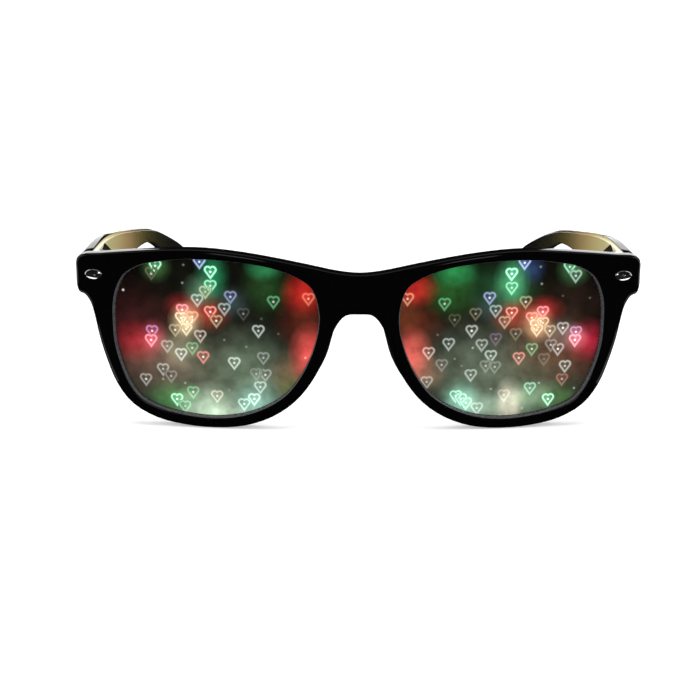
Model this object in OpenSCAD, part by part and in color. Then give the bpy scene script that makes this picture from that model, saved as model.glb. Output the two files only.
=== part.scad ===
// Novelty glasses with diffraction lenses: a bowed plastic front, two lens blanks that each
// carry a grating film, and two folding temples on three-knuckle metal hinges.
// X runs across the face, the front looks along -Y, Z is up. The origin is on the table,
// under the middle of the whole object. Left is the wearer's left, at +X.

/* [Front] */
// Width of one lens opening
lens_w = 54; // [46:0.5:62]
// Height of one lens opening
lens_h = 43.7; // [36:0.1:50]
// Distance between the two lens openings
bridge_w = 20; // [17:0.5:25]
// Width of the rim under the lens
rim_w = 1.9; // [1.7:0.1:3]
// Height of the brow over the lens
brow_h = 2.2; // [1.9:0.1:4]
// Reach of the end piece past the lens opening
end_w = 9.1; // [8.4:0.1:12]
// Height of the end piece
end_h = 10.2; // [9.6:0.1:13]
// Thickness of the front
front_t = 4; // [3.8:0.1:5.5]
// Radius of the bow of the front, seen from above
bow_r = 360; // [280:5:600]
// Rounding of the front's outer edge on the face side
edge_r = 0.9; // [0.5:0.05:1]
// Rounding of the front's outer edge on the wearer's side
back_r = 0.7; // [0.4:0.05:0.9]
// How far the moulded nose pads stand behind the front
pad_d = 3.6; // [1:0.1:5]
// How far the nose pads reach towards the nose
pad_w = 0.9; // [0:0.1:1.5]

/* [Lenses] */
// Thickness of the clear lens blank
lens_t = 1; // [0.8:0.05:1.2]
// Thickness of the grating film
film_t = 0.2; // [0.1:0.05:0.3]
// Thickness of the lip in front of the lens
lip_t = 1.2; // [0.9:0.05:1.3]
// Bevel of the lip
bevel = 0.5; // [0.2:0.05:0.6]
// Depth of the groove that holds the lens
groove_d = 0.7; // [0.4:0.05:0.8]
// Clearance of the lens in its groove
lens_fit = 0.08; // [0.03:0.01:0.1]

/* [Temples] */
// Length of a temple, from the front to its tip, seen from above
temple_l = 140; // [120:1:155]
// Height of a temple at the hinge
temple_h = 9.2; // [8.4:0.1:10]
// Thickness of a temple at the hinge
temple_t = 3.8; // [3.4:0.1:4.4]
// Thickness of a temple at its slimmest
waist_t = 3; // [2.4:0.1:3.4]
// How far the temple runs inward as a straight line
toe_in = 7.6; // [4:0.2:10]
// How far its tip curls inward on top of that
curl_in = 6.4; // [2:0.2:8]
// Step from the end piece's side to the temple's outer face
temple_step = 0.6; // [0.3:0.05:0.9]
// Gap between the temple's end and the front
butt_gap = 0.3; // [0.2:0.05:0.5]
// Rounding of the temple's long edges
temple_r = 1; // [0.5:0.05:1.3]

/* [Hinges] */
// Radius of the hinge knuckles
knuckle_r = 1.25; // [1.1:0.05:1.45]
// Height of the three knuckles together
hinge_h = 8.8; // [7:0.1:9.2]
// Gap between two knuckles
knuckle_gap = 0.1; // [0.05:0.01:0.15]
// Radius of the hinge screw's shank
screw_r = 0.55; // [0.45:0.05:0.65]
// Running clearance of the shank in the knuckles
screw_fit = 0.04; // [0.02:0.01:0.06]
// Radius of the screw's head
head_r = 1; // [0.8:0.05:1.1]
// Height of the screw's head
head_h = 0.45; // [0.3:0.05:0.5]
// Length of the leaf on the temple
leaf_l = 8.5; // [6:0.1:11]
// Height of the leaf on the temple
leaf_h = 6.4; // [5:0.1:7]
// Thickness of a hinge leaf
leaf_t = 1.1; // [0.9:0.05:1.2]

/* [Rivets] */
// Width of the oval rivet head
rivet_w = 4.6; // [3.5:0.1:5]
// Height of the oval rivet head
rivet_h = 2.6; // [2:0.1:3.2]
// How far the rivet head stands proud
rivet_proud = 0.3; // [0.15:0.05:0.4]
// How deep the rivet head is let in
rivet_sunk = 0.7; // [0.4:0.05:0.8]
// Radius of the rivet's pin
pin_r = 0.6; // [0.4:0.05:0.7]

/* [Hidden] */

// Clearance between seated pieces of one body
seat_fit = 0.04;
// Overrun of a cut past the face it opens
overrun = 1.5;
// Facets of the round metal pieces, and of the long bow
$fn = 48;
bow_fn = 720;

// Centre of a lens opening, and its outer edge
lens_x = (bridge_w + lens_w)/2;
lens_z = lens_h/2 + rim_w;
lens_edge = bridge_w/2 + lens_w;
// Height of the end piece's middle
end_z_share = 0.38;
end_z = lens_z + lens_h*end_z_share;

// The rows below go round one lens, seen from the front, from the top of the nose arch down
// and round to the top of the bridge. Each row is [inner x, inner z, outer x, outer z].
// The inner point is always a share of the lens opening, from its centre.
// Nose and bridge rows: the outer point is a share of half the bridge, from the middle of the
// front, and of the lens height.
nose_shares = [
    [-0.499, 0.175, 0, 0.173],
    [-0.5, 0.143, 0.34, 0.166],
    [-0.497, 0.086, 0.57, 0.109],
    [-0.484, 0.01, 0.74, 0.019],
    [-0.452, -0.111, 0.94, -0.118]
];
bridge_shares = [
    [-0.456, 0.347, 0.55, 0.426],
    [-0.483, 0.285, 0, 0.414]
];
// Rim and brow rows: the outer point is so many rim widths, or brow heights, from the inner.
rim_shares = [
    [-0.404, -0.23, -1.47, -0.47],
    [-0.339, -0.338, -1.05, -0.79],
    [-0.246, -0.42, -0.68, -1.05],
    [-0.128, -0.478, -0.32, -1.08],
    [0.005, -0.5, 0.05, -1],
    [0.15, -0.486, 0.26, -1.05],
    [0.274, -0.45, 0.63, -1],
    [0.374, -0.388, 1.1, -0.58],
    [0.431, -0.292, 1.58, -0.05],
    [0.478, -0.136, 1.68, 0.1],
    [0.498, -0.008, 1.95, 0.21],
    [0.501, 0.104, 2.37, 0.26]
];
brow_shares = [
    [0.274, 0.479, 2.82, 0.98],
    [0.163, 0.497, 1, 1],
    [0.044, 0.5, 0.05, 1],
    [-0.111, 0.487, -0.45, 0.86],
    [-0.269, 0.457, -0.45, 0.84],
    [-0.389, 0.404, -1.27, 1.16]
];
// End piece rows: the outer point is a share of the end piece's reach, from the lens opening's
// edge, and of its height, from its middle.
end_shares = [
    [0.5, 0.177, 0.6, -0.78],
    [0.497, 0.219, 0.758, -0.554],
    [0.493, 0.251, 0.923, -0.485],
    [0.487, 0.28, 0.989, -0.338],
    [0.472, 0.331, 1, 0.015],
    [0.443, 0.39, 0.978, 0.368],
    [0.411, 0.422, 0.835, 0.485],
    [0.352, 0.459, 0.275, 0.544]
];

function lens_point(row) = [lens_x + row[0]*lens_w, lens_z + row[1]*lens_h];
inner_rows = [
    for (rows = [nose_shares, rim_shares, end_shares, brow_shares, bridge_shares], row = rows)
        lens_point(row)
];
outer_rows = [
    for (row = nose_shares) [row[2]*bridge_w/2, lens_z + row[3]*lens_h],
    for (row = rim_shares) lens_point(row) + [row[2], row[3]]*rim_w,
    for (row = end_shares) [lens_edge + row[2]*end_w, end_z + row[3]*end_h],
    for (row = brow_shares) lens_point(row) + [row[2], row[3]]*brow_h,
    for (row = bridge_shares) [row[2]*bridge_w/2, lens_z + row[3]*lens_h]
];

// A smooth curve through four points at a time, with steps that follow their spacing
function mix(a, b, t) = a + (b - a)*t;
function knot(a, b) = sqrt(norm(b - a));
function curve_point(p0, p1, p2, p3, u) =
    let (
        t1 = knot(p0, p1),
        t2 = t1 + knot(p1, p2),
        t3 = t2 + knot(p2, p3),
        t = mix(t1, t2, u),
        a1 = mix(p0, p1, t/t1),
        a2 = mix(p1, p2, (t - t1)/(t2 - t1)),
        a3 = mix(p2, p3, (t - t2)/(t3 - t2)),
        b1 = mix(a1, a2, t/t2),
        b2 = mix(a2, a3, (t - t1)/(t3 - t1))
    )
    mix(b1, b2, (t - t1)/(t2 - t1));

// Round the lens: steps between two rows, and steps along the seam at the middle of the front
row_steps = 3;
seam_steps = 5;
row_n = len(inner_rows);
open_n = (row_n - 1)*row_steps;
station_n = open_n + seam_steps;

function mirrored(p) = [-p[0], p[1]];
function on_seam(i) = i == 0 || i >= open_n;
function seam_share(i) = (i - open_n)/seam_steps;

outer_line = [
    for (k = [0 : row_n - 2], step = [0 : row_steps - 1])
        curve_point(
            k == 0 ? mirrored(outer_rows[1]) : outer_rows[k - 1],
            outer_rows[k],
            outer_rows[k + 1],
            k == row_n - 2 ? mirrored(outer_rows[k]) : outer_rows[k + 2],
            step/row_steps
        ),
    for (i = [open_n : station_n - 1])
        mix(outer_rows[row_n - 1], outer_rows[0], seam_share(i))
];
inner_line = [
    for (k = [0 : row_n - 1], step = [0 : (k == row_n - 1 ? seam_steps : row_steps) - 1])
        curve_point(
            inner_rows[(k + row_n - 1)%row_n],
            inner_rows[k],
            inner_rows[(k + 1)%row_n],
            inner_rows[(k + 2)%row_n],
            step/(k == row_n - 1 ? seam_steps : row_steps)
        )
];

// Outward normals of the two lines. Along the seam the outer edge isn't rounded.
function outward(a, b) = [b[1] - a[1], a[0] - b[0]]/norm(b - a);
inner_out = [
    for (i = [0 : station_n - 1])
        outward(inner_line[(i + station_n - 1)%station_n], inner_line[(i + 1)%station_n])
];
outer_out = [
    for (i = [0 : station_n - 1])
        i == 0 ? [0, -1]
        : i == open_n ? [0, 1]
        : i > open_n ? [0, 0]
        : outward(outer_line[i - 1], outer_line[i + 1])
];

// Lowest point of the rims, which stand on the table
rim_low = min([for (p = outer_line) p[1]]);

// How far the bow sets a place back, and how it leans there
function bow(x) = bow_r - sqrt(bow_r*bow_r - x*x);
function bow_lean(x) = asin(x/bow_r);

// The nose pad swells between two rows of the nose and back again
pad_rows = [1.6, 6.4];
function pad_share(i) =
    let (u = (i/row_steps - pad_rows[0])/(pad_rows[1] - pad_rows[0]))
    u <= 0 || u >= 1 ? 0 : pow(sin(180*u), 2);

// One section of the front, from the lens groove over the face, the outer edge and the back
groove_w = lens_t + film_t + 2*lens_fit;
front_arc = [0, 30, 60, 90];
small_arc = [0, 45, 90];
function section(i) =
    let (
        a = inner_line[i],
        a_out = inner_out[i],
        b = outer_line[i],
        b_out = outer_out[i],
        pad = pad_share(i)
    )
    [
        [a, lip_t],
        for (q = small_arc) [a + a_out*bevel*(1 - cos(q)), bevel*(1 - sin(q))],
        for (q = front_arc) [b - b_out*edge_r*(1 - sin(q)), edge_r*(1 - cos(q))],
        for (q = small_arc)
            [b - b_out*(back_r*(1 - cos(q)) - pad_w*pad), front_t + pad_d*pad - back_r*(1 - sin(q))],
        for (q = small_arc) [a + a_out*bevel*(1 - sin(q)), front_t - bevel*(1 - cos(q))],
        [a, lip_t + groove_w],
        [a + a_out*groove_d, lip_t + groove_w],
        [a + a_out*groove_d, lip_t]
    ];
ring_n = len(section(0));
seam_first = 1 + len(small_arc);
seam_last = seam_first + len(front_arc) + len(small_arc) - 1;

function front_point(side, p) = [side*p[0][0], bow(p[0][0]) + p[1], p[0][1] - rim_low];
front_points = [
    for (side = [1, -1], i = [0 : station_n - 1], p = section(i)) front_point(side, p)
];
function shared(i, j) = on_seam(i) && j >= seam_first && j <= seam_last;
function front_id(half, i, j) =
    (shared(i, j) ? 0 : half*station_n*ring_n) + i*ring_n + j;
function front_quad(half, i, j) =
    let (
        i2 = (i + 1)%station_n,
        j2 = (j + 1)%ring_n,
        a = front_id(half, i, j),
        b = front_id(half, i2, j),
        c = front_id(half, i2, j2),
        d = front_id(half, i, j2)
    )
    half == 0 ? [[a, b, c], [a, c, d]] : [[c, b, a], [d, c, a]];
front_faces = [
    for (half = [0, 1], i = [0 : station_n - 1], j = [0 : ring_n - 1])
        if (!(on_seam(i) && on_seam((i + 1)%station_n) && j >= seam_first && j < seam_last))
            each front_quad(half, i, j)
];

// Hinge axis: inside the temple's end, just clear of the end piece's back
side_x = lens_edge + end_w;
temple_x = side_x - temple_step;
knuckle_bury = 0.35;
hinge_x = temple_x - temple_t - knuckle_r + knuckle_bury;
hinge_clear = 0.3;
hinge_y = bow(hinge_x + knuckle_r) + front_t + knuckle_r + hinge_clear;
knuckle_h = (hinge_h - 2*knuckle_gap)/3;
hinge_z = end_z - rim_low;
hinge_low = hinge_z - hinge_h/2;
// The tongues are slimmer than the knuckles, so the temple's end clears them
tongue_share = 0.56;
tongue_w = 2*knuckle_r*tongue_share;

// Rivet: on the end piece's face, over the leaf that it holds
rivet_x = hinge_x + knuckle_r/2;
rivet_lean = bow_lean(rivet_x);
face_t = front_t*cos(rivet_lean);
plate_front = face_t/2;
plate_w = 2*knuckle_r + rivet_h/2;
rivet_bevel = rivet_proud;

// Temple: rows of [length share, fall share of the hinge height, half height share]
temple_shares = [
    [0, 0, 1],
    [0.11, -0.006, 1],
    [0.232, 0.025, 0.88],
    [0.325, 0.069, 0.77],
    [0.407, 0.109, 0.663],
    [0.49, 0.148, 0.51],
    [0.546, 0.184, 0.46],
    [0.593, 0.231, 0.48],
    [0.646, 0.297, 0.56],
    [0.704, 0.379, 0.685],
    [0.77, 0.478, 0.84],
    [0.83, 0.574, 0.985],
    [0.87, 0.647, 1.08],
    [0.91, 0.732, 1.1]
];
// The tip's end is a quarter of an oval, and its middle falls so much for its length
tip_fall_share = 2.5;
tip_arc = [14, 27, 40, 52, 63, 73, 82];
temple_steps = 3;
temple_rows = len(temple_shares);
waist_share = 0.55;

temple_root = hinge_y - knuckle_r - hinge_clear + bow(temple_x) - bow(hinge_x + knuckle_r) + butt_gap;
function share_row(k) =
    k < 0 ? 2*temple_shares[0] - temple_shares[1]
    : k >= temple_rows ? 2*temple_shares[temple_rows - 1] - temple_shares[temple_rows - 2]
    : temple_shares[k];
last_row = temple_shares[temple_rows - 1];
temple_line = [
    for (k = [0 : temple_rows - 2], step = [0 : temple_steps - 1])
        curve_point(share_row(k - 1), share_row(k), share_row(k + 1), share_row(k + 2), step/temple_steps),
    last_row,
    for (q = tip_arc)
        let (s = (1 - last_row[0])*sin(q))
        [last_row[0] + s, last_row[1] + tip_fall_share*s, last_row[2]*cos(q)]
];
temple_n = len(temple_line);
// The whole temple is let down evenly until its tip rests on the table
function raw_low(row) = hinge_z*(1 - row[1]) - row[2]*temple_h/2;
tip_drop = min([for (i = [temple_rows : temple_n - 1]) raw_low(temple_line[i])/temple_line[i][0]]);

// Thickness falls from the hinge to the waist, grows again and rounds off at the tip
function temple_thick(i) =
    let (s = temple_line[i][0], to_waist = min(1, s/waist_share))
    mix(temple_t, waist_t, pow(sin(90*to_waist), 2))*(i < temple_n - len(tip_arc) ? 1
        : mix(1, 0.45, 1 - cos(tip_arc[i - temple_n + len(tip_arc)])));
corner_arc = [0, 30, 60, 90];
function temple_ring(i) =
    let (
        row = temple_line[i],
        half_h = row[2]*temple_h/2,
        half_t = temple_thick(i)/2,
        r = min(temple_r, half_h*0.85, half_t*0.85),
        x = temple_x - temple_t/2 - toe_in*row[0] - curl_in*row[0]*row[0],
        z = hinge_z*(1 - row[1]) - tip_drop*row[0]
    )
    [
        for (corner = [[1, 1, 0], [-1, 1, 90], [-1, -1, 180], [1, -1, 270]], q = corner_arc)
            let (
                px = x + corner[0]*(half_t - r) + r*cos(q + corner[2]),
                pz = z + corner[1]*(half_h - r) + r*sin(q + corner[2])
            )
            [
                px,
                temple_root + temple_l*row[0] + (i == 0 ? (px - temple_x)*tan(bow_lean(temple_x)) : 0),
                pz
            ]
    ];
temple_ring_n = 4*len(corner_arc);
temple_points = [for (i = [0 : temple_n - 1]) each temple_ring(i)];
temple_faces = [
    for (i = [0 : temple_n - 2], j = [0 : temple_ring_n - 1])
        let (
            a = i*temple_ring_n + j,
            b = i*temple_ring_n + (j + 1)%temple_ring_n,
            c = b + temple_ring_n,
            d = a + temple_ring_n
        )
        each [[a, b, c], [a, c, d]],
    for (j = [1 : temple_ring_n - 2]) [0, j + 1, j],
    for (j = [1 : temple_ring_n - 2])
        let (base = (temple_n - 1)*temple_ring_n)
        [base, base + j, base + j + 1]
];
toe_lean = atan(toe_in/temple_l);

// Depth of the whole object, from the bridge to the temple tips
reach = max([for (p = temple_points) p[1]]);

// Places every node: left pieces as drawn, right ones mirrored, all centred on the depth
module placed(side = 1) {
    translate([0, -reach/2, 0]) mirror([side < 0 ? 1 : 0, 0, 0]) children();
}

// Everything between two depths behind the bowed face
module bow_shell(t0, t1) {
    difference() {
        translate([0, bow_r + t0, 0]) cylinder(r = bow_r, h = lens_h + 2*lens_z, $fn = bow_fn);
        translate([0, bow_r + t1, -overrun])
            cylinder(r = bow_r, h = lens_h + 2*lens_z + 2*overrun, $fn = bow_fn);
    }
}

// A sheet with the lens's outline, so far out past the opening, between two depths
module lens_sheet(grow, t0, t1) {
    outline = [for (i = [0 : station_n - 1]) inner_line[i] + inner_out[i]*grow - [0, rim_low]];
    intersection() {
        bow_shell(t0, t1);
        translate([0, bow(lens_edge) + front_t + overrun, 0])
            rotate([90, 0, 0])
                linear_extrude(bow(lens_edge) + front_t + 2*overrun) polygon(outline);
    }
}

// Frame on the face at the rivet: local Y runs straight into the end piece
module at_rivet() {
    translate([rivet_x, bow(rivet_x), hinge_z]) rotate([0, 0, rivet_lean]) children();
}

module oval(w, h, depth) {
    rotate([90, 0, 0])
        linear_extrude(depth)
            polygon([for (q = [0 : 10 : 350]) [w/2*cos(q), h/2*sin(q)]]);
}

// The leaf's plate lies inside the end piece, behind the rivet's head
module front_plate(grow) {
    translate([-plate_w/2 - knuckle_r/2 - grow, plate_front - grow, -hinge_h/2 - grow])
        cube([plate_w + 2*grow, leaf_t + 2*grow, hinge_h + 2*grow]);
}

// The tongues run from the knuckles into the plate
module front_tongue(z0, h, grow) {
    plate_y = bow(hinge_x) + plate_front + leaf_t/2;
    translate([hinge_x - tongue_w/2 - grow, plate_y, z0 - grow])
        cube([tongue_w + 2*grow, hinge_y - plate_y, h + 2*grow]);
}

module knuckle(z0) {
    translate([hinge_x, hinge_y, z0]) cylinder(r = knuckle_r, h = knuckle_h);
}

module screw_bore() {
    translate([hinge_x, hinge_y, hinge_low - overrun])
        cylinder(r = screw_r + screw_fit, h = hinge_h + 2*overrun);
}

// Frame on the hinge axis, turned so that local Y runs along the temple
module at_leaf() {
    translate([hinge_x, hinge_y, hinge_z]) rotate([0, 0, toe_lean]) children();
}

// The temple leaf's plate, partly let into the temple's inner face, and the strap that joins
// it to the middle knuckle
module temple_plate(grow) {
    start = knuckle_r + hinge_clear;
    translate([knuckle_r - leaf_t - grow, start - grow, -leaf_h/2 - grow])
        cube([leaf_t + 2*grow, leaf_l - start + 2*grow, leaf_h + 2*grow]);
    translate([knuckle_r - leaf_t - grow, 0, -knuckle_h/2])
        cube([leaf_t + 2*grow, start + leaf_t, knuckle_h]);
}

module front_frame() {
    color([0.03, 0.03, 0.035])
        placed()
            difference() {
                polyhedron(points = front_points, faces = front_faces, convexity = 12);
                for (side = [0, 1])
                    mirror([side, 0, 0]) {
                        at_rivet() {
                            translate([0, rivet_sunk + seat_fit, 0])
                                oval(rivet_w + 2*seat_fit, rivet_h + 2*seat_fit, rivet_sunk + overrun);
                            rotate([-90, 0, 0]) cylinder(r = pin_r + seat_fit, h = plate_front + leaf_t);
                            front_plate(seat_fit);
                        }
                        front_tongue(hinge_low, hinge_h, seat_fit);
                    }
            }
}

module lens(side) {
    color([0.75, 0.8, 0.85, 0.5])
        placed(side) lens_sheet(groove_d - lens_fit, lip_t + lens_fit, lip_t + lens_fit + lens_t);
}

module grating_film(side) {
    color([0.35, 0.75, 0.7, 0.6])
        placed(side)
            lens_sheet(
                groove_d - 2*lens_fit,
                lip_t + lens_fit + lens_t,
                lip_t + lens_fit + lens_t + film_t
            );
}

module rivet(side) {
    color("silver")
        placed(side)
            at_rivet() {
                hull() {
                    translate([0, rivet_sunk, 0]) oval(rivet_w, rivet_h, rivet_sunk);
                    translate([0, rivet_sunk, 0])
                        oval(rivet_w - 2*rivet_bevel, rivet_h - 2*rivet_bevel, rivet_sunk + rivet_proud);
                }
                rotate([-90, 0, 0]) cylinder(r = pin_r, h = plate_front + leaf_t);
            }
}

module front_leaf(side) {
    color("silver")
        placed(side)
            difference() {
                union() {
                    for (z0 = [hinge_low, hinge_low + 2*(knuckle_h + knuckle_gap)]) {
                        knuckle(z0);
                        front_tongue(z0, knuckle_h, 0);
                    }
                    at_rivet() front_plate(0);
                }
                screw_bore();
                at_rivet()
                    rotate([-90, 0, 0]) cylinder(r = pin_r + seat_fit, h = plate_front + leaf_t + overrun);
            }
}

module temple_leaf(side) {
    color("silver")
        placed(side)
            difference() {
                union() {
                    knuckle(hinge_low + knuckle_h + knuckle_gap);
                    at_leaf() temple_plate(0);
                }
                screw_bore();
            }
}

module hinge_screw(side) {
    color("silver")
        placed(side)
            translate([hinge_x, hinge_y, hinge_low])
                difference() {
                    union() {
                        cylinder(r = screw_r, h = hinge_h);
                        translate([0, 0, hinge_h]) cylinder(r = head_r, h = head_h);
                    }
                    translate([-head_r, -head_h/4, hinge_h + head_h/2])
                        cube([2*head_r, head_h/2, head_h]);
                }
}

module temple(side) {
    color([0.03, 0.03, 0.035])
        placed(side)
            difference() {
                polyhedron(points = temple_points, faces = temple_faces, convexity = 6);
                translate([hinge_x, hinge_y, hinge_z - temple_h])
                    cylinder(r = knuckle_r + hinge_clear, h = 2*temple_h);
                at_leaf() temple_plate(seat_fit);
            }
}

front_frame();
lens(1);  // left_lens
lens(-1);  // right_lens
grating_film(1);  // left_grating_film
grating_film(-1);  // right_grating_film
rivet(1);  // left_rivet
rivet(-1);  // right_rivet
front_leaf(1);  // left_front_leaf
front_leaf(-1);  // right_front_leaf
temple_leaf(1);  // left_temple_leaf
temple_leaf(-1);  // right_temple_leaf
hinge_screw(1);  // left_hinge_screw
hinge_screw(-1);  // right_hinge_screw
temple(1);  // left_temple
temple(-1);  // right_temple
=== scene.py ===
"""Looks for a pair of diffraction glasses: gloss black plastic, clear lenses over grating films
with hearts of coloured light, polished rivets and small metal hinges.

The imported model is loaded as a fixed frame, and everything here is in metres in that frame:
X runs across the face with the wearer's left at +X, the front looks along -Y, and Z is up.
"""

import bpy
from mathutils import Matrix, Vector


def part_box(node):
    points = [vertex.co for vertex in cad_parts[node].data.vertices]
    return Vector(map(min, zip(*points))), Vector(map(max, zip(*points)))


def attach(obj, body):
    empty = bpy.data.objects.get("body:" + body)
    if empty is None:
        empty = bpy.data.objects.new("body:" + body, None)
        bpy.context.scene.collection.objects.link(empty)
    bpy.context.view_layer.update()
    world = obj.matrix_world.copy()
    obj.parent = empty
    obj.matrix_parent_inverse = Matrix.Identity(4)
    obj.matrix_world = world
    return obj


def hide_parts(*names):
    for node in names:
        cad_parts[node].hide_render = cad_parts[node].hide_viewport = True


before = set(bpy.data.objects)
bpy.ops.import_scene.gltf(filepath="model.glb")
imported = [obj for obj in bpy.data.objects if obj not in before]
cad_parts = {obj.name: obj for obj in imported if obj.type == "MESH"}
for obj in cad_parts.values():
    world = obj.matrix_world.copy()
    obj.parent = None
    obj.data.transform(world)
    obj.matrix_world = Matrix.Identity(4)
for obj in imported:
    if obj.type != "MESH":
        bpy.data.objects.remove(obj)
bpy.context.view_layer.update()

import math

import bpy
from bpy.props import FloatProperty, FloatVectorProperty, PointerProperty
from mathutils import Matrix, Vector
from mathutils.bvhtree import BVHTree

bl_info = {
    "name": "Diffraction glasses",
    "version": (1, 0, 0),
    "blender": (4, 5, 0),
    "location": "3D View > Sidebar > Glasses",
    "description": "Dresses the packed glasses in plastic, film, light and metal",
    "category": "Object",
}

MM = 0.001
SIDES = {"left": 1, "right": -1}    # the wearer's sides, and which way each lies along X
PICTURE = 700                       # the photograph's width and height, in pixels
SENSOR = 36.0                       # the camera's sensor, in millimetres
NEAREST = 10 * MM                   # nearer things aren't drawn by the camera
BOW_RADIUS = 360 * MM               # the front, its lenses and its films share this bow
LEVEL, UPRIGHT = (0, 0, 0), (math.radians(90), 0, 0)

# The middle of the front's face, and how far back the middle of each film lies
AIM = Vector((0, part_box("front_frame")[0].y, 25 * MM))
FILM_DEPTHS = {side: sum(corner.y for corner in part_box(f"{side}_grating_film")) / 2
               for side in SIDES}
TREES = {}                          # the CAD nodes that tree_of has sorted


# ---------------------------------------------------------------- sizes and colours

COLOUR = {"subtype": "COLOR", "size": 3, "min": 0, "max": 1}
SHARE = {"subtype": "FACTOR", "min": 0, "max": 1}
LENGTH = {"subtype": "DISTANCE", "unit": "LENGTH"}


class PlasticLooks(bpy.types.PropertyGroup):
    """The moulded black plastic of the front and the temples."""

    colour: FloatVectorProperty(
        name="Colour", description="Colour of the plastic", default=(0.0012, 0.0012, 0.0014),
        **COLOUR)
    roughness: FloatProperty(
        name="Roughness", description="Mean roughness of the polished skin", default=0.07,
        **SHARE)
    gloss: FloatProperty(
        name="Gloss", description="Specular level of the skin", default=0.35, **SHARE)
    # Strength of the warm reflection painted on the temples' inner faces
    painted_reflection: FloatProperty(
        name="Bloom", description="Strength of the warm bloom inside the temples",
        default=1.2, min=0, max=2)
    # The walls' grey, far lighter than the black plastic, is a painted sheen
    satin: FloatVectorProperty(
        name="Satin", description="Colour of the duller walls round the lenses",
        default=(0.10, 0.10, 0.105), **COLOUR)
    smooth_angle: FloatProperty(
        name="Smooth angle", description="Edges flatter than this are shaded smooth",
        subtype="ANGLE", min=0, max=math.pi, default=math.radians(38))


class FilmLooks(bpy.types.PropertyGroup):
    """The grating film and the light that it shows."""

    colour: FloatVectorProperty(
        name="Colour", description="Colour of the unlit film", default=(0.006, 0.008, 0.007),
        **COLOUR)
    heart: FloatProperty(
        name="Heart", description="Half the width of a heart of light",
        default=0.00142, min=0.0005, max=0.004, **LENGTH)
    line: FloatProperty(
        name="Line", description="Width of a heart's outline, at half its brightness",
        default=0.0004, min=0.0001, max=0.001, **LENGTH)
    dot: FloatProperty(
        name="Dot", description="Radius of the white dot in a heart, where its light ends",
        default=0.00046, min=0.0001, max=0.001, **LENGTH)
    gap: FloatProperty(
        name="Gap", description="Room between the lens and the film, for the hearts",
        default=0.00006, min=0.00004, max=0.0001, **LENGTH)
    heart_gain: FloatProperty(
        name="Heart light", description="Brightness of the hearts", default=1.25, min=0, max=5)
    glow_gain: FloatProperty(
        name="Glow light", description="Brightness of the soft glows between the hearts",
        default=1.0, min=0, max=5)


class MetalLooks(bpy.types.PropertyGroup):
    """Rivets, hinge leaves and screws."""

    bright: FloatVectorProperty(
        name="Bright metal", description="Colour of the polished nickel",
        default=(0.88, 0.87, 0.85), **COLOUR)
    tumbled: FloatVectorProperty(
        name="Hinge metal", description="Colour of the tumbled nickel",
        default=(0.62, 0.6, 0.56), **COLOUR)
    rivet_dome: FloatProperty(
        name="Rivet dome", description="Height of the domed head of a rivet",
        default=0.00029, min=0.0001, max=0.0003, **LENGTH)


class StageLooks(bpy.types.PropertyGroup):
    """Floor, lamps and camera."""

    azimuth: FloatProperty(
        name="Azimuth", description="Camera's turn round the object",
        default=math.radians(-0.985), subtype="ANGLE")
    elevation: FloatProperty(
        name="Elevation", description="Camera's height over the horizon",
        default=math.radians(16.324), subtype="ANGLE")
    roll: FloatProperty(
        name="Roll", description="Camera's tilt about its own line of sight",
        default=math.radians(0.411), subtype="ANGLE")
    distance: FloatProperty(
        name="Distance", description="From the camera to the middle of the front",
        default=0.3883, **LENGTH)
    focal_px: FloatProperty(
        name="Focal length in pixels", description="Focal length for a picture 700 pixels wide",
        default=1512.2)
    centre_x: FloatProperty(
        name="Middle across", description="Where the line of sight meets the picture, from left",
        default=359.14, subtype="PIXEL")
    centre_y: FloatProperty(
        name="Middle down", description="Where the line of sight meets the picture, from the top",
        default=339.32, subtype="PIXEL")
    floor: FloatVectorProperty(
        name="Floor", description="Colour of the floor", default=(0.8, 0.8, 0.8), **COLOUR)


class GlassesLooks(bpy.types.PropertyGroup):
    """All looks of the glasses."""

    plastic: PointerProperty(type=PlasticLooks)
    film: PointerProperty(type=FilmLooks)
    metal: PointerProperty(type=MetalLooks)
    stage: PointerProperty(type=StageLooks)


def looks():
    """The looks that are set in this scene."""
    return bpy.context.scene.glasses


# ---------------------------------------------------------------- light in the films
# Places and sizes in these lists are given in pixels of the photograph, and colours
# are as a picture shows them.

# The colours of a heart's line and of its soft inside
COLOURS = {
    "mint": ((0.71, 0.99, 0.84), (0.05, 0.62, 0.45)),
    "green": ((0.46, 0.77, 0.55), (0.02, 0.38, 0.15)),
    "teal": ((0.73, 0.86, 0.82), (0.06, 0.25, 0.25)),
    "white": ((0.86, 0.91, 0.88), (0.22, 0.30, 0.27)),
    "grey": ((0.68, 0.68, 0.67), (0.16, 0.18, 0.16)),
    "cream": ((0.97, 0.91, 0.77), (0.65, 0.52, 0.32)),
    "olive": ((0.68, 0.65, 0.51), (0.20, 0.17, 0.05)),
    "peach": ((0.91, 0.83, 0.78), (0.35, 0.22, 0.18)),
    "orange": ((0.96, 0.70, 0.54), (0.60, 0.22, 0.10)),
    "coral": ((0.99, 0.64, 0.60), (0.72, 0.18, 0.14)),
    "red": ((0.91, 0.50, 0.50), (0.55, 0.08, 0.10)),
    "pink": ((1.00, 0.64, 0.70), (0.85, 0.20, 0.32)),
    "violet": ((0.76, 0.58, 0.77), (0.45, 0.12, 0.42)),
    "blue": ((0.68, 0.70, 0.86), (0.10, 0.16, 0.62)),
    "lavender": ((0.73, 0.78, 0.99), (0.30, 0.40, 0.80)),
}

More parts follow.
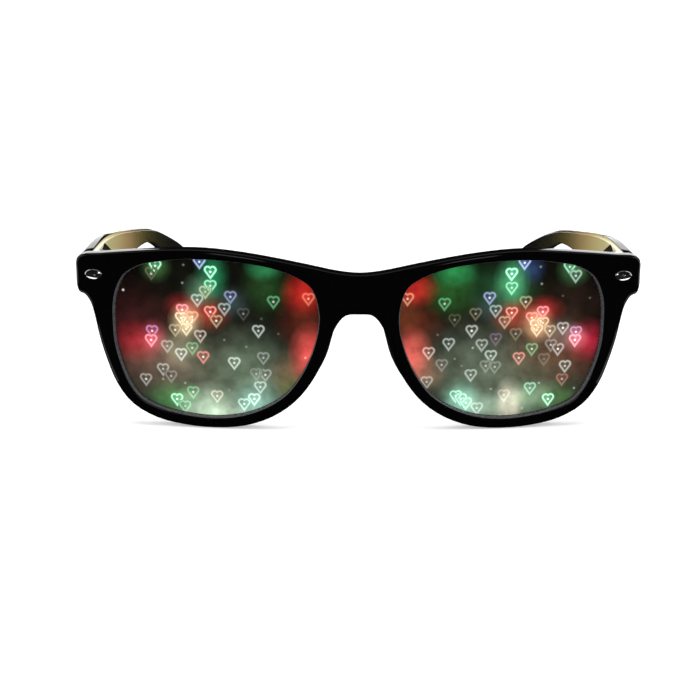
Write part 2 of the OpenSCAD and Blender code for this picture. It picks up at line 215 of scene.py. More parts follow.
# A heart is [x, y, colour, strength]
HEARTS = {
    "right": [
        [155, 265, "mint", 1.0], [151, 272, "olive", 0.25], [199, 261, "lavender", 0.9],
        [210, 271, "mint", 1.2], [210, 285, "mint", 0.8], [205, 291, "cream", 0.5],
        [197, 299, "teal", 0.7], [230, 296, "blue", 0.6], [224, 308, "teal", 0.6],
        [273, 301, "green", 0.6], [308, 298, "orange", 0.4], [182, 309, "pink", 0.9],
        [210, 311, "coral", 0.9], [216, 320, "olive", 0.9], [181, 317, "cream", 0.9],
        [187, 321, "cream", 0.8], [192, 316, "orange", 0.7], [186, 328, "cream", 0.7],
        [175, 329, "olive", 0.7], [200, 335, "peach", 0.6], [152, 330, "violet", 0.8],
        [151, 339, "pink", 1.0], [167, 345, "white", 0.4], [192, 347, "green", 0.6],
        [181, 353, "white", 0.7], [203, 356, "red", 0.9], [258, 330, "white", 0.6],
        [234, 362, "white", 0.7], [263, 357, "grey", 0.5], [243, 313, "grey", 0.12],
        [163, 368, "white", 0.45], [146, 378, "grey", 0.7], [171, 375, "grey", 0.4],
        [177, 398, "mint", 1.0], [193, 391, "green", 0.7], [217, 395, "peach", 0.6],
        [260, 386, "white", 0.6], [254, 398, "white", 0.8], [244, 403, "teal", 0.8],
        [185, 405, "mint", 0.4], [265, 374, "grey", 0.6], [256, 373, "grey", 0.3],
    ],
    "left": [
        [524, 262, "lavender", 1.0], [511, 273, "mint", 1.3], [511, 287, "mint", 0.7],
        [569, 266, "mint", 0.8], [575, 275, "teal", 0.7], [525, 301, "olive", 0.8],
        [489, 297, "blue", 0.8], [495, 310, "teal", 0.6], [444, 303, "green", 0.6],
        [407, 298, "orange", 0.6], [475, 313, "olive", 0.35], [454, 319, "olive", 0.15],
        [511, 312, "coral", 0.9], [504, 321, "cream", 0.45], [542, 311, "pink", 0.9],
        [531, 317, "coral", 0.8], [535, 324, "cream", 1.0], [542, 322, "cream", 0.7],
        [536, 329, "cream", 0.7], [549, 330, "olive", 0.9], [562, 327, "grey", 1.0],
        [471, 330, "grey", 1.0], [515, 333, "olive", 0.35], [575, 331, "violet", 0.9],
        [574, 339, "pink", 1.3], [448, 343, "white", 0.5], [481, 344, "white", 0.45],
        [495, 338, "violet", 0.25], [490, 355, "white", 0.6], [428, 352, "peach", 0.6],
        [441, 364, "grey", 0.4], [518, 357, "coral", 0.7], [531, 348, "green", 0.7],
        [550, 344, "grey", 0.5], [557, 348, "grey", 1.0], [564, 365, "white", 0.6],
        [470, 374, "white", 0.5], [485, 365, "grey", 0.4], [494, 366, "grey", 0.4],
        [426, 381, "white", 0.4], [529, 387, "mint", 0.6], [547, 398, "mint", 1.1],
        [455, 395, "mint", 0.7], [460, 398, "teal", 0.8], [465, 402, "mint", 0.7],
        [476, 407, "white", 0.5], [503, 394, "peach", 0.35], [543, 358, "peach", 0.15],
        [561, 378, "coral", 0.3],
    ],
}

# A spark is a lone dot, [x, y, strength]
SPARKS = {
    "right": [
        [123, 289, 0.9], [151, 273, 0.7], [182, 282, 0.3], [183, 264, 0.2], [224, 339, 0.2],
        [246, 346, 0.2], [185, 382, 0.3], [261, 318, 0.1], [278, 333, 0.1], [163, 378, 0.3],
        [305, 357, 0.4], [243, 313, 0.3], [263, 357, 0.5], [229, 389, 0.15],
    ],
    "left": [
        [540, 266, 0.3], [541, 283, 0.35], [562, 295, 0.1], [589, 297, 0.12], [461, 365, 0.15],
        [454, 358, 0.2], [538, 382, 0.4], [573, 387, 0.4], [472, 347, 0.4], [561, 378, 0.6],
        [475, 313, 0.4], [454, 319, 0.3], [437, 334, 0.15], [521, 407, 0.3], [490, 388, 0.3],
    ],
}

# A glow is [x, y, half width, half height, colour], and the glows add up
GLOWS = {
    "right": [
        [215, 320, 150, 110, (0.10, 0.10, 0.07)], [136, 330, 60, 60, (0.22, 0.06, 0.08)],
        [225, 388, 130, 58, (0.34, 0.37, 0.30)],
        [225, 350, 90, 46, (0.22, 0.23, 0.19)], [165, 362, 60, 44, (0.36, 0.28, 0.24)],
        [250, 366, 52, 50, (0.30, 0.38, 0.31)], [212, 274, 19, 34, (0.12, 0.52, 0.34)],
        [200, 290, 20, 22, (0.34, 0.48, 0.38)], [155, 267, 18, 18, (0.24, 0.40, 0.22)],
        [264, 264, 22, 17, (0.18, 0.56, 0.34)], [266, 284, 30, 36, (0.12, 0.26, 0.11)],
        [232, 300, 22, 20, (0.20, 0.27, 0.28)], [304, 290, 26, 28, (0.78, 0.15, 0.13)],
        [304, 320, 34, 38, (0.34, 0.13, 0.08)], [310, 352, 24, 38, (0.97, 0.36, 0.34)],
        [288, 368, 26, 26, (0.38, 0.24, 0.16)], [292, 384, 24, 20, (0.30, 0.34, 0.15)],
        [208, 312, 26, 22, (0.60, 0.20, 0.15)], [184, 306, 24, 18, (0.56, 0.14, 0.15)],
        [186, 320, 20, 22, (0.84, 0.74, 0.58)], [138, 342, 32, 26, (0.62, 0.07, 0.14)],
        [153, 338, 18, 22, (0.60, 0.24, 0.30)], [182, 348, 34, 26, (0.42, 0.44, 0.35)],
        [150, 350, 60, 50, (0.20, 0.08, 0.08)], [174, 398, 34, 24, (0.24, 0.50, 0.26)],
        [208, 406, 40, 30, (0.70, 0.80, 0.70)], [226, 410, 44, 14, (0.62, 0.68, 0.60)],
        [256, 400, 30, 32, (0.56, 0.76, 0.70)],
    ],
    "left": [
        [500, 320, 150, 110, (0.11, 0.10, 0.06)], [495, 388, 130, 58, (0.34, 0.38, 0.31)],
        [478, 354, 80, 50, (0.32, 0.36, 0.31)], [545, 350, 64, 50, (0.36, 0.24, 0.17)],
        [454, 270, 26, 18, (0.16, 0.58, 0.32)], [450, 288, 34, 34, (0.14, 0.34, 0.14)],
        [486, 284, 34, 34, (0.05, 0.22, 0.12)], [511, 280, 20, 30, (0.34, 0.72, 0.50)],
        [511, 290, 34, 34, (0.12, 0.30, 0.18)], [532, 268, 16, 18, (0.16, 0.24, 0.40)],
        [574, 270, 20, 20, (0.26, 0.46, 0.28)], [490, 304, 22, 22, (0.20, 0.27, 0.28)],
        [414, 286, 26, 22, (0.78, 0.16, 0.15)], [404, 310, 26, 30, (0.36, 0.18, 0.10)],
        [418, 324, 32, 34, (0.32, 0.13, 0.08)], [410, 352, 24, 34, (0.97, 0.42, 0.38)],
        [424, 368, 26, 26, (0.50, 0.33, 0.26)], [512, 314, 26, 20, (0.66, 0.24, 0.18)],
        [542, 310, 26, 18, (0.66, 0.15, 0.16)], [536, 323, 20, 22, (0.82, 0.62, 0.46)],
        [556, 332, 26, 20, (0.38, 0.34, 0.32)], [574, 338, 18, 18, (0.60, 0.42, 0.44)],
        [588, 342, 26, 26, (0.74, 0.10, 0.24)], [575, 312, 50, 50, (0.14, 0.08, 0.07)],
        [576, 360, 40, 34, (0.24, 0.10, 0.09)],
        [460, 398, 26, 28, (0.50, 0.74, 0.66)], [508, 402, 18, 32, (0.90, 0.86, 0.78)],
        [480, 404, 40, 22, (0.56, 0.66, 0.58)], [530, 396, 34, 24, (0.48, 0.60, 0.48)],
        [556, 398, 30, 20, (0.24, 0.40, 0.18)],
    ],
}

# How a glow falls off, from its middle to its rim, and how uneven the film makes all of them
GLOW_SHAPE = [(0.0, 1.0), (0.25, 0.86), (0.5, 0.5), (0.75, 0.16), (1.0, 0.0)]
GLOW_CLOUDS = (0.7, 1.3)

DOT_COLOUR = (1.0, 0.98, 0.94)
DOT_GAIN = 1.3                      # how much brighter the dot is than the heart's line
INSIDE_SIZE = 1.05                  # the soft inside's radius, with half the heart's width as 1

# A heart half as wide as 1: its lobe's middle, the lobe's radius, and the height of its tip
LOBE = (0.46, 0.40)
LOBE_RADIUS = 0.54
TIP = -1.2
TIP_DRAW = 1.5                      # the outer ring's tip lies this many lines further down
LOBE_EDGES, SPOT_EDGES = 24, 12

# Each part of a heart has its thickness as a share of the gap, its first place in the gap, and
# the step from one heart to the next, so that none lie in one plane
LAYERS = {
    "outline": (0.5, 0.5, 0.006), "inside": (0.2, 0.15, 0.004), "spot": (0.8, 0.85, 0.002),
}
SPARK_LAYER = 0.96
HEART_ROOT = 0.14 * MM              # how far a heart's solid reaches back into the film


# ---------------------------------------------------------------- sizes of what is shaped

# How far each side of a lens opening comes in, at its front edge and at the lens
LIP_DEPTH = 1.25 * MM
LIPS = {
    "top": (0.4 * MM, 0.4 * MM), "bottom": (0.93 * MM, 1.5 * MM),
    "outer": (0.3 * MM, 1.2 * MM), "inner": (0.35 * MM, 0.4 * MM),
}

# The rings of a rivet's domed head, as shares of its size
DOME_RINGS = (0.88, 0.74, 0.58, 0.4, 0.2)

# The Y of the normals of walls in the lens openings, and of faces that look to the front
WALL_NORMALS = (-0.85, 0.3)
FILM_FRONT, RIVET_FRONT = -0.7, -0.3

# Edges flatter than these are shaded smooth, and sharper ones of the hinges are rubbed round
LENS_SMOOTH, RIVET_SMOOTH, HINGE_SMOOTH = math.radians(15), math.radians(50), math.radians(40)
LEAF_BEVEL, SCREW_BEVEL = 0.08 * MM, 0.06 * MM
FLAT_WEIGHT = 90                    # how much wide flat faces outweigh small ones in shading
NEAR_BOW = 0.998                    # cosine of the turn up to which a normal takes the bow's

# Points nearer than these are one: in a CAD node, in a heart, on a cut, and in a comparison
WELD, HEART_WELD, CUT_WELD, SAME = 2e-6, 1e-6, 1e-8, 1e-7


# ---------------------------------------------------------------- patterns of the finishes

# Noise: waves to the metre, detail, and the stretch of its place along X, Y and Z
FLOW_WAVES = (60, 1.0)
HAIRLINES = (900, 3.0, (1.0, 0.12, 1.0))
PIN_DUST = (5200, 1.0)
CUTTER_MARKS = (2600, 2.0, (1.0, 0.2, 1.0))
DENTS = (700, 3.0)
SCRATCHES = (5000, 2.0, (0.08, 0.6, 1.0))
LENS_HAZE = (300,)
FILM_CLOUDS = (260, 3.0)
FILM_GRAIN = (1200,)
NOISE_MIDDLE = (0.3, 0.7)           # most of any noise lies between these levels

# Roughness: the least and the most, and the levels of the noise at which these are reached
SKIN_UNEVEN, PLATE_UNEVEN = (0.6, 1.4), (0.7, 1.3)    # with the mean as 1
HAIRLINE_ROUGHNESS = (0.0, 0.10, 0.62, 0.9)
SATIN_ROUGHNESS = (0.22, 0.34, *NOISE_MIDDLE)
LENS_ROUGHNESS = (0.0, 0.02, 0.4, 0.8)
FILM_ROUGHNESS = (0.16, 0.3)
SCRATCH_LEVELS = (0.5, 0.8)

# Bumps: strength and height
SKIN_BUMP = (0.12, 0.04 * MM)
DUST_HEIGHT = 0.02                  # with the flow waves' height as 1
SCRATCH_BUMP = (2.5, 0.01 / 0.12 * MM)    # for a grain of 1

# Each metal's colour among the looks, its roughness, and how much scratches add to that
METALS = {"bright_nickel": ("bright", 0.08, 0.03), "tumbled_nickel": ("tumbled", 0.28, 0.12)}
METAL_SHADE = 0.86                  # of the darker clouds in the plate
SATIN_SHADE = 0.7                   # of the darker cutter marks

# The warm reflection painted on a temple's inner face: millimetres along Y, and the colour in the
# picture
PAINTED_REFLECTION_STOPS = [
    (-62, (0.95, 0.93, 0.85)), (-53, (0.92, 0.89, 0.74)), (-45, (0.84, 0.80, 0.58)),
    (-33, (0.78, 0.71, 0.50)), (-22, (0.69, 0.59, 0.40)), (-9, (0.50, 0.43, 0.28)),
    (0, (0.37, 0.33, 0.18)), (9, (0.26, 0.24, 0.13)), (20, (0.17, 0.16, 0.10)),
    (38, (0.08, 0.08, 0.06)),
]
INNER_FACE = (-0.45, -0.1)          # turns of the skin where the painted reflection is full, and gone

# The dark wedge of painted shadow by the hinge, laid on the painted reflection: its top along Y
# and up, how much its two edges slope, how soft they are, and its colour
WEDGE_TOP = (-51.2 * MM, 44.8 * MM)
WEDGE_SLOPES = (3.0, 2.1)
WEDGE_FADE = 0.4 * MM
PAINTED_SHADOW_COLOUR = (0.03, 0.028, 0.012)


# ---------------------------------------------------------------- sizes of the studio

FLOOR_SIZE = 8
FLOOR_GLOW = (0.45, 1.2)            # the floor's own light for the camera, near and far,
FLOOR_REACH = (0.15, 0.9)           # and how far out these are
SURROUND_LIGHT = 0.35               # on the object. To the camera and in gloss it is white.

# Each lamp's place, what it is turned to, its size and its power
LAMPS = {
    "top_lamp": ((0, 0.10, 1.1), (0, 0, 0), (1.3, 0.9), 9),
    "left_lamp": ((-1.0, -0.35, 0.75), (0, -0.05, 0.02), (0.45, 0.7), 5),
    "right_lamp": ((1.0, -0.35, 0.75), (0, -0.05, 0.02), (0.45, 0.7), 5),
}

# The light that each paint of the studio cards gives, and each card's place, size, turn and
# paint. The cards show in reflections only.
CARD_PAINTS = {"black_card": 0, "sky_card": 0.5, "white_card": 1.8, "rivet_card": 2.0}
CARDS = {
    "front_card": ((0, -1.1, 0.8), (5.0, 1.8), UPRIGHT, "black_card"),
    "back_card": ((0, 1.3, 0.8), (2.6, 1.8), UPRIGHT, "black_card"),
    "ceiling_card": ((0, 0.1, 1.7), (2.6, 2.4), LEVEL, "black_card"),
    "floor_card": ((0, -0.6, 0.0002), (2.4, 0.97), LEVEL, "black_card"),
    "near_card": ((0, -0.0425, 0.0002), (0.4, 0.185), LEVEL, "black_card"),
    "rear_card": ((0, 0.33, 0.0002), (0.2, 0.56), LEVEL, "black_card"),
    "sky_card": ((0, 0.1, 1.2), (1.3, 0.9), LEVEL, "sky_card"),
}
# Of these one stands on each side, with its place given for X towards the wearer's left
SIDE_CARDS = {
    "card": ((0.535, 1.29, 0.25), (0.53, 0.40), UPRIGHT, "white_card"),
    "low_card": ((0.106, -0.090, 0.0004), (0.050, 0.022), LEVEL, "rivet_card"),
    "high_card": ((0.225, -1.05, 0.19), (0.15, 0.30), UPRIGHT, "rivet_card"),
}


# ---------------------------------------------------------------- making and shaping

def show_only(*objects):
    """Leaves exactly these objects selected."""
    if bpy.context.object and bpy.context.object.mode != "OBJECT":
        bpy.ops.object.mode_set(mode="OBJECT")
    bpy.ops.object.select_all(action="DESELECT")
    for each in objects:
        each.select_set(True)
    bpy.context.view_layer.objects.active = objects[0]


def copy_of(node, name):
    """A merged copy of a CAD node, which is loose triangles, as a mesh of its own."""
    show_only(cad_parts[node])
    bpy.ops.object.duplicate(linked=False)
    piece = bpy.context.object
    piece.name = name
    piece.data.name = name
    for key in list(piece.keys()):
        del piece[key]
    piece.parent = None
    piece.matrix_world = Matrix.Identity(4)
    piece.data.materials.clear()
    bpy.ops.object.mode_set(mode="EDIT")
    bpy.ops.mesh.select_all(action="SELECT")
    bpy.ops.mesh.remove_doubles(threshold=WELD)
    bpy.ops.object.mode_set(mode="OBJECT")
    return piece


def tree_of(node):
    """The faces of a CAD node, sorted for finding where a line meets them."""
    if node not in TREES:
        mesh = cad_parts[node].data
        TREES[node] = BVHTree.FromPolygons([vertex.co for vertex in mesh.vertices],
                                           [face.vertices for face in mesh.polygons])
    return TREES[node]


def select_parts(piece, kind, parts, wanted):
    """Selects the faces or vertices that pass a test, and leaves the piece in edit mode."""
    show_only(piece)
    bpy.ops.object.mode_set(mode="EDIT")
    bpy.ops.mesh.select_mode(type=kind)
    bpy.ops.mesh.select_all(action="DESELECT")
    bpy.ops.object.mode_set(mode="OBJECT")
    for part in parts:
        part.select = wanted(part)
    bpy.ops.object.mode_set(mode="EDIT")


def select_faces(piece, wanted):
    """Selects the faces that pass a test."""
    select_parts(piece, "FACE", piece.data.polygons, wanted)


def select_verts(piece, wanted):
    """Selects the vertices whose place passes a test."""
    select_parts(piece, "VERT", piece.data.vertices, lambda vertex: wanted(vertex.co))


def apply_modifier(piece, kind, **settings):
    """Adds a modifier with these settings and applies it."""
    show_only(piece)
    modifier = piece.modifiers.new(kind.title(), kind)
    for key, value in settings.items():
        setattr(modifier, key, value)
    bpy.ops.object.modifier_apply(modifier=modifier.name)


def smooth(piece, angle):
    """Shades curves smooth, and keeps wide flat faces flat beside small rounded edges."""
    show_only(piece)
    bpy.ops.object.shade_smooth_by_angle(angle=angle)
    apply_modifier(piece, "WEIGHTED_NORMAL", keep_sharp=True, weight=FLAT_WEIGHT)


def bow(x):
    """How far the front's bow falls back at a place across it."""
    return BOW_RADIUS - math.sqrt(BOW_RADIUS ** 2 - x * x)


def face_the_bow(piece):
    """Turns the normals that nearly face the way of the bow, so that it mirrors evenly."""
    mesh = piece.data
    normals = [Vector(normal.vector) for normal in mesh.corner_normals]
    for face in mesh.polygons:
        for corner in face.loop_indices:
            across = mesh.vertices[mesh.loops[corner].vertex_index].co.x / BOW_RADIUS
            straight = Vector((across, -math.sqrt(1 - across * across), 0))
            for own in (face.normal, normals[corner]):
                if abs(straight.dot(own)) > NEAR_BOW:
                    normals[corner] = straight * math.copysign(1, straight.dot(own))
                    break
    mesh.normals_split_custom_set(normals)


def finish_piece(piece, body, slot, material, *nodes):
    """Gives a piece its finish and its body, and hides the CAD nodes that it stands for."""
    piece.data.materials.clear()
    piece.data.materials.append(material)
    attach(piece, body)
    if nodes:
        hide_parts(*nodes)


# ---------------------------------------------------------------- materials

class Nodes:
    """A material's node tree, with short calls for the nodes used here."""

    def __init__(self, name):
        material = bpy.data.materials.new(name)
        material.use_nodes = True
        self.tree = material.node_tree
        self.shader = self.tree.nodes["Principled BSDF"]
        self.place = self.tree.nodes.new("ShaderNodeTexCoord").outputs["Object"]

    def node(self, kind, **settings):
        """A new node of this kind."""
        made = self.tree.nodes.new(kind)
        for key, value in settings.items():
            setattr(made, key, value)
        return made

    def link(self, source, socket):
        """Joins a socket to its source, or sets it where the source is a value."""
        if isinstance(source, bpy.types.NodeSocket):
            self.tree.links.new(source, socket)
        else:
            socket.default_value = source

    def vector(self, operation, *inputs):
        """A sum with places or colours."""
        made = self.node("ShaderNodeVectorMath", operation=operation)
        for source, socket in zip(inputs, made.inputs):
            self.link(source, socket)
        return made.outputs["Value" if operation == "LENGTH" else "Vector"]

    def maths(self, operation, *inputs, clamp=False):
        """A sum with numbers."""
        made = self.node("ShaderNodeMath", operation=operation, use_clamp=clamp)
        for source, socket in zip(inputs, made.inputs):
            self.link(source, socket)
        return made.outputs["Value"]

    def ramp(self, source, stops):
        """Colours or levels along a source that runs from 0 to 1."""
        made = self.node("ShaderNodeValToRGB")
        elements = made.color_ramp.elements
        while len(elements) < len(stops):
            elements.new(1.0)
        for element, (place, value) in zip(elements, stops):
            element.position = place
            element.color = (*value, 1) if isinstance(value, tuple) else (value, value, value, 1)
        self.link(source, made.inputs["Fac"])
        return made.outputs["Color"]

    def noise(self, scale, detail=2.0, stretch=(1, 1, 1)):
        """An even noise that stays with the piece."""
        place = self.vector("MULTIPLY", self.place, stretch)
        made = self.node("ShaderNodeTexNoise")
        self.link(scale, made.inputs["Scale"])
        self.link(detail, made.inputs["Detail"])
        self.link(place, made.inputs["Vector"])
        return made.outputs["Fac"]

    def map(self, source, low, high, source_low=0.0, source_high=1.0):
        """A source between two values, brought to lie between two others."""
        made = self.node("ShaderNodeMapRange")
        for name, value in (("Value", source), ("From Min", source_low), ("From Max", source_high),
                            ("To Min", low), ("To Max", high)):
            self.link(value, made.inputs[name])
        return made.outputs["Result"]

    def mix(self, factor, first, second):
        """Goes from the first colour to the second as the factor goes from 0 to 1."""
        made = self.node("ShaderNodeMix", data_type="RGBA")
        for socket, source in ((0, factor), (6, first), (7, second)):
            self.link(source, made.inputs[socket])
        return made.outputs[2]

    def bump(self, height, strength, distance):
        """Fine relief, in the shading alone."""
        made = self.node("ShaderNodeBump")
        self.link(strength, made.inputs["Strength"])
        self.link(distance, made.inputs["Distance"])
        self.link(height, made.inputs["Height"])
        self.link(made.outputs["Normal"], self.shader.inputs["Normal"])

    def set(self, **values):
        """Sets the shader's sockets, with _ for a space in their names."""
        for name, value in values.items():
            self.link(value, self.shader.inputs[name.replace("_", " ")])


def material_of(name, fill, *details):
    """The material of this name, which a function fills when it is first asked for."""
    if name not in bpy.data.materials:
        fill(Nodes(name), *details)
    return bpy.data.materials[name]


def moulded_plastic(n):
    """High-gloss injection-moulded skin, with faint flow waves, pin dust and fine hairlines."""
    own = looks().plastic
    waves = n.noise(*FLOW_WAVES)
    n.set(Base_Color=(*own.colour, 1), Specular_IOR_Level=own.gloss,
          Roughness=n.maths("ADD", n.map(waves, *[own.roughness * part for part in SKIN_UNEVEN]),
                            n.map(n.noise(*HAIRLINES), *HAIRLINE_ROUGHNESS)))
    dust = n.maths("MULTIPLY", n.noise(*PIN_DUST), DUST_HEIGHT)
    n.bump(n.maths("ADD", waves, dust), *SKIN_BUMP)


def satin_plastic_with_painted_sheen(n):
    """The duller skin in the lens openings, where the cutter of the mould leaves its marks, with a
    painted sheen: a grey far lighter than the black plastic.
    """
    moulded_plastic(n)
    satin = tuple(looks().plastic.satin)
    shades = (tuple(c * SATIN_SHADE for c in satin), satin)
    marks = n.noise(*CUTTER_MARKS)
    n.set(Base_Color=n.ramp(marks, list(zip(NOISE_MIDDLE, shades))),
          Roughness=n.map(marks, *SATIN_ROUGHNESS))


def temple_plastic_with_painted_reflection(n):
    """The same black, with a warm reflection painted along a temple's inner face, and a dark wedge
    of painted shadow by the hinge.
    """
    moulded_plastic(n)
    own = looks().plastic
    place = n.node("ShaderNodeSeparateXYZ")
    n.link(n.place, place.inputs["Vector"])
    facing = n.node("ShaderNodeSeparateXYZ")
    n.link(n.place.node.outputs["Normal"], facing.inputs["Vector"])
    inward = n.maths("MULTIPLY", facing.outputs["X"], n.maths("SIGN", place.outputs["X"]))
    inner = n.map(inward, 1.0, 0.0, *INNER_FACE)
    # The warm colours along the inner face are a painted reflection, fading away from the hinge
    first, last = PAINTED_REFLECTION_STOPS[0][0] * MM, PAINTED_REFLECTION_STOPS[-1][0] * MM
    along = n.map(place.outputs["Y"], 0.0, 1.0, first, last)
    painted_reflection = n.ramp(along, [((at * MM - first) / (last - first),
                            tuple(linear(c) * own.painted_reflection for c in colour)) for at, colour in PAINTED_REFLECTION_STOPS])
    # A dark wedge of painted shadow by the hinge, cut into the painted reflection
    past = n.maths("SUBTRACT", place.outputs["Y"], WEDGE_TOP[0])
    drop = n.maths("SUBTRACT", WEDGE_TOP[1], place.outputs["Z"])
    painted_shadow = inner
    for edge in (drop, n.maths("MULTIPLY_ADD", drop, WEDGE_SLOPES[0], past),
                 n.maths("SUBTRACT", n.maths("MULTIPLY", drop, WEDGE_SLOPES[1]), past)):
        painted_shadow = n.maths("MULTIPLY", painted_shadow, n.map(edge, 0.0, 1.0, 0.0, WEDGE_FADE))
    n.set(Base_Color=n.mix(painted_shadow, n.mix(inner, (*own.colour, 1), painted_reflection), (*PAINTED_SHADOW_COLOUR, 1)))


def nickel_plate(n, kind, rough, grain):
    """Nickel plate, polished or tumbled, with fine dents and rubbed grain."""
    colour = getattr(looks().metal, kind)
    dents, scratches = n.noise(*DENTS), n.noise(*SCRATCHES)
    n.set(Base_Color=n.mix(n.map(dents, 0.0, 1.0, *NOISE_MIDDLE),
                           (*[c * METAL_SHADE for c in colour], 1), (*colour, 1)),
          Metallic=1.0,
          Roughness=n.maths("ADD", n.map(dents, *[rough * part for part in PLATE_UNEVEN]),
                            n.map(scratches, 0.0, grain, *SCRATCH_LEVELS)))
    n.bump(scratches, *[grain * amount for amount in SCRATCH_BUMP])


def metal(name):
    """One of the metals of the rivets and hinges."""
    return material_of(name, nickel_plate, *METALS[name])


def clear_plastic(n):
    """Clear polished lens blank."""
    n.set(Base_Color=(0.97, 0.98, 0.97, 1), Transmission_Weight=1.0, IOR=1.49,
          Roughness=n.map(n.noise(*LENS_HAZE), *LENS_ROUGHNESS))


def lit_film(n, side):
    """Dark film that shows soft glows and hearts of coloured light."""
    own = looks().film
    light = (0.0, 0.0, 0.0)
    flat = n.vector("MULTIPLY", n.place, (1, 0, 1))
    per_pixel = film_pixel()
    for x, y, half_w, half_h, colour in GLOWS[side]:
        centre = on_film(side, x, y)
        size = Vector((half_w * per_pixel, 1, half_h * per_pixel))
        away = n.vector("MULTIPLY_ADD", flat, [1 / s for s in size],
                        [-centre.x / size.x, 0, -centre.z / size.z])
        amount = n.ramp(n.vector("LENGTH", away), GLOW_SHAPE)
        shade = [linear(c) * own.glow_gain for c in colour]
        light = n.vector("MULTIPLY_ADD", amount, shade, light)
    clouds = n.map(n.noise(*FILM_CLOUDS), *GLOW_CLOUDS, *NOISE_MIDDLE)
    light = n.vector("MULTIPLY", light, clouds)
    hearts = n.node("ShaderNodeAttribute", attribute_name="light")
    light = n.vector("ADD", light, hearts.outputs["Vector"])
    n.set(Base_Color=(*own.colour, 1), Roughness=n.map(n.noise(*FILM_GRAIN), *FILM_ROUGHNESS),
          Specular_IOR_Level=0.2, Emission_Color=light, Emission_Strength=1.0)


def grating_film(side):
    """The film of one side, which its hearts share."""
    return material_of(f"grating_film_{side}", lit_film, side)


def linear(value):
    """A value as seen in a picture, as an amount of light."""
    return value / 12.92 if value <= 0.04045 else ((value + 0.055) / 1.055) ** 2.4


# ---------------------------------------------------------------- camera geometry

def camera_place():
    """Where the camera stands and how it is turned. It aims at the middle of the front."""
    own = looks().stage
    back = Vector((math.sin(own.azimuth) * math.cos(own.elevation),
                   -math.cos(own.azimuth) * math.cos(own.elevation),
                   math.sin(own.elevation)))
    turn = back.to_track_quat("Z", "Y").to_matrix() @ Matrix.Rotation(own.roll, 3, "Z")
    return AIM + back * own.distance, turn


def pixel_ray(x, y):
    """Start and direction of the line of sight through a pixel of the photograph."""
    own = looks().stage
    start, turn = camera_place()
    along = turn @ Vector((x + 0.5 - own.centre_x, own.centre_y - y - 0.5, -own.focal_px))
    return start, along.normalized()


def film_pixel():
    """How much of the film one pixel of the photograph spans."""
    own = looks().stage
    return own.distance / own.focal_px


def film_point(side, x, y):
    """Where a pixel of the photograph lies on a film's front, and which way the film faces."""
    point, normal, _, _ = tree_of(f"{side}_grating_film").ray_cast(*pixel_ray(x, y))
    if point is None:
        raise RuntimeError(f"pixel {x}, {y} isn't on the {side} film")
    return point, normal


def on_film(side, x, y):
    """Where a pixel of the photograph lies in a film's own plane, also past its rim."""
    start, along = pixel_ray(x, y)
    return start + along * ((FILM_DEPTHS[side] - start.y) / along.y)


# ---------------------------------------------------------------- operators

